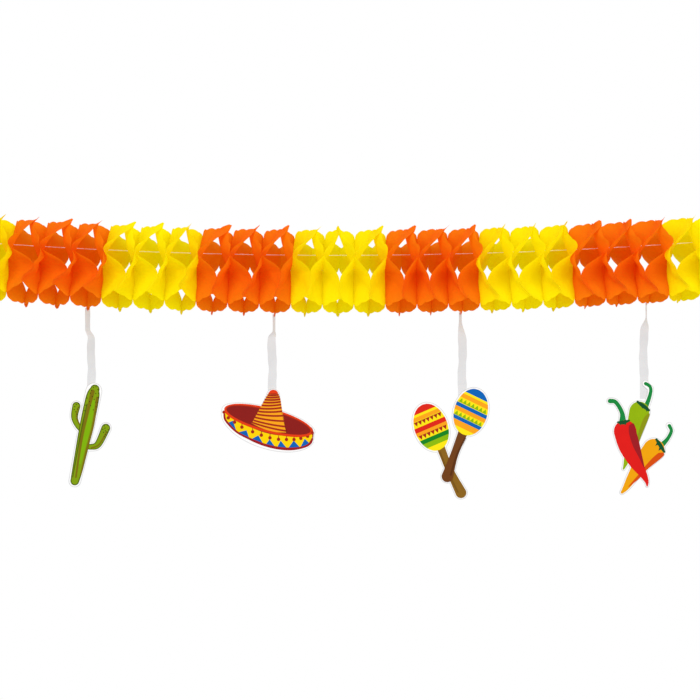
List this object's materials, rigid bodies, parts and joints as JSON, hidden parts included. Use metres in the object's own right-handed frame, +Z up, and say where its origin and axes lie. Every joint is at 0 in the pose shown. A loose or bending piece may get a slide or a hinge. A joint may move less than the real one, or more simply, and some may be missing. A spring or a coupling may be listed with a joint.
{
  "type": "paper garland",
  "caption": "Paper honeycomb garland of orange and yellow tissue on a thread, with ribbons and printed party cards.",
  "frame": {"origin": "middle of the left end loop of the thread", "axes": "+X along the garland to the right loop, -Y the front, +Z up"},
  "size_m": [1.0622, 0.1168, 0.3702],
  "materials": {
    "orange_tissue": "matt tissue",
    "yellow_tissue": "matt tissue",
    "thread": "twisted cotton",
    "ribbon": "thin crepe paper",
    "cactus_card": "printed card",
    "sombrero_card": "printed card",
    "maracas_card": "printed card",
    "chillies_card": "printed card"
  },
  "bodies": {
    "root": {"thread": "thread", "yellow_sheet_01": "yellow_tissue", "yellow_sheet_02": "yellow_tissue", "yellow_sheet_03": "yellow_tissue", "yellow_sheet_04": "yellow_tissue", "orange_sheet_05": "orange_tissue", "orange_sheet_06": "orange_tissue", "orange_sheet_07": "orange_tissue", "orange_sheet_08": "orange_tissue", "orange_sheet_09": "orange_tissue", "orange_sheet_10": "orange_tissue", "yellow_sheet_11": "yellow_tissue", "yellow_sheet_12": "yellow_tissue", "yellow_sheet_13": "yellow_tissue", "yellow_sheet_14": "yellow_tissue", "yellow_sheet_15": "yellow_tissue", "yellow_sheet_16": "yellow_tissue", "orange_sheet_17": "orange_tissue", "orange_sheet_18": "orange_tissue", "orange_sheet_19": "orange_tissue", "orange_sheet_20": "orange_tissue", "orange_sheet_21": "orange_tissue", "orange_sheet_22": "orange_tissue", "yellow_sheet_23": "yellow_tissue", "yellow_sheet_24": "yellow_tissue", "yellow_sheet_25": "yellow_tissue", "yellow_sheet_26": "yellow_tissue", "yellow_sheet_27": "yellow_tissue", "yellow_sheet_28": "yellow_tissue", "orange_sheet_29": "orange_tissue", "orange_sheet_30": "orange_tissue", "orange_sheet_31": "orange_tissue", "orange_sheet_32": "orange_tissue", "orange_sheet_33": "orange_tissue", "orange_sheet_34": "orange_tissue", "yellow_sheet_35": "yellow_tissue", "yellow_sheet_36": "yellow_tissue", "yellow_sheet_37": "yellow_tissue", "yellow_sheet_38": "yellow_tissue", "yellow_sheet_39": "yellow_tissue", "yellow_sheet_40": "yellow_tissue", "orange_sheet_41": "orange_tissue", "orange_sheet_42": "orange_tissue", "orange_sheet_43": "orange_tissue", "orange_sheet_44": "orange_tissue", "orange_sheet_45": "orange_tissue", "orange_sheet_46": "orange_tissue", "yellow_sheet_47": "yellow_tissue", "yellow_sheet_48": "yellow_tissue", "yellow_sheet_49": "yellow_tissue", "yellow_sheet_50": "yellow_tissue", "cactus_ribbon": "ribbon", "sombrero_ribbon": "ribbon", "maracas_ribbon": "ribbon", "chillies_ribbon": "ribbon", "cactus_card": "cactus_card", "sombrero_card": "sombrero_card", "maracas_card": "maracas_card", "chillies_card": "chillies_card"}
  },
  "joints": []
}
